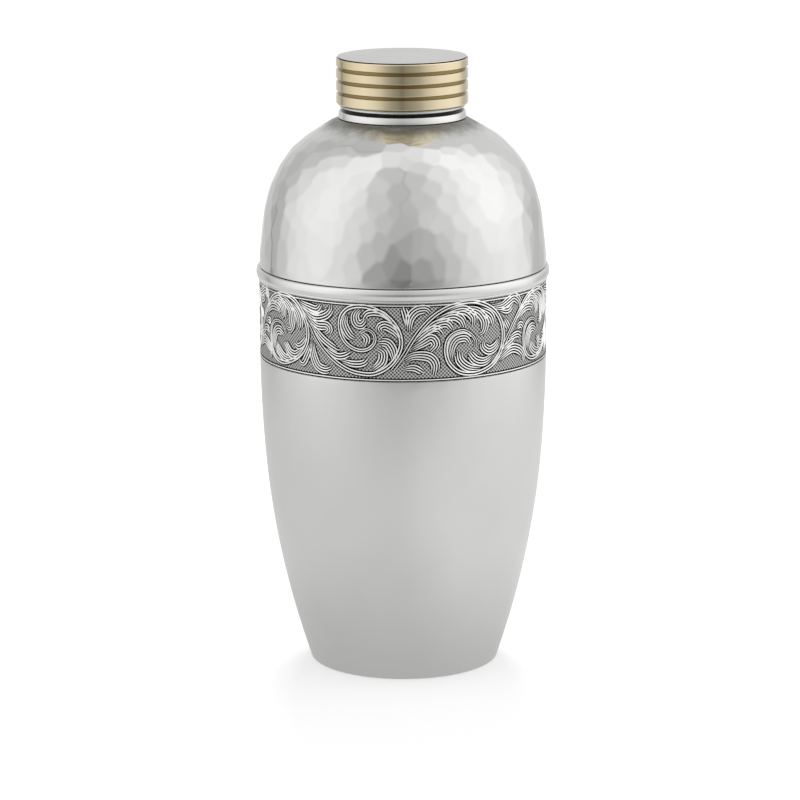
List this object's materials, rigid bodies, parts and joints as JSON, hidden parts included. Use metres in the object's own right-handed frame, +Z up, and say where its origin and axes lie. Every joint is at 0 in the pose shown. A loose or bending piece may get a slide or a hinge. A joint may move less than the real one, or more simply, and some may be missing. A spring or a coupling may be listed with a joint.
{
  "type": "cocktail shaker",
  "caption": "Hammered pewter cocktail shaker: tapering cup with an engraved scroll band, lift-off domed strainer lid and a ribbed brass-sleeved cap.",
  "frame": {"origin": "centre of the flat face that the cup stands on", "axes": "+Z up along the shaker's axis, from the foot towards the cap; the shape is turned about Z, so X and Y are free"},
  "size_m": [0.1124, 0.1124, 0.2352],
  "materials": {
    "satin_pewter": "satin lead-free pewter, softly burnished",
    "bright_pewter": "hand-polished pewter, bright",
    "darkened_pewter": "engraved pewter, darkened in the recesses",
    "polished_brass": "pale polished brass"
  },
  "bodies": {
    "cup": {"cup_shell": "satin_pewter", "engraved_band": "darkened_pewter", "rim_bead": "bright_pewter"},
    "dome": {"dome_shell": "bright_pewter", "dome_skirt": "satin_pewter", "neck_tube": "satin_pewter", "neck_collar": "bright_pewter", "strainer_plate": "satin_pewter"},
    "cap": {"cap_cup": "satin_pewter", "cap_sleeve": "polished_brass"}
  },
  "joints": [
    {"name": "dome_lift", "type": "slide", "parent": "cup", "child": "dome", "axis": [0, 0, 1], "range_m": [0, 0.018]},
    {"name": "cap_lift", "type": "slide", "parent": "dome", "child": "cap", "axis": [0, 0, 1], "range_m": [0, 0.018]}
  ]
}
